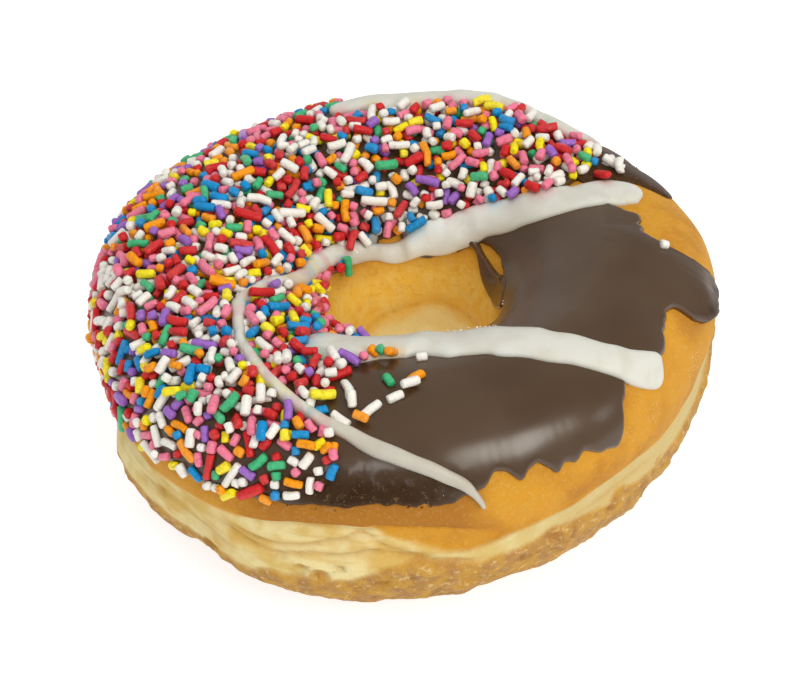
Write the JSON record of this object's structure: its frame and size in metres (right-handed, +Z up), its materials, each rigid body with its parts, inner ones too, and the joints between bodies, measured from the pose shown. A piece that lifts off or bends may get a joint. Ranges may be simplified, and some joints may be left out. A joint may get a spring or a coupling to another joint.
{
  "type": "iced ring doughnut",
  "caption": "Raised ring doughnut with chocolate icing, a white icing drizzle and coloured sugar sprinkles over one side; it rests on its flat underside.",
  "frame": {"origin": "centre of the whole doughnut's box at its underside, where it rests", "axes": "+Z up through the hole; -Y towards the side that the picture shows in front, +X to the picture's right"},
  "size_m": [0.0976, 0.0976, 0.0381],
  "materials": {
    "fried_dough": null,
    "chocolate_icing": null,
    "white_icing": null,
    "sugar_sprinkles": null
  },
  "bodies": {
    "root": {"dough": "fried_dough", "icing": "chocolate_icing"}
  },
  "joints": []
}
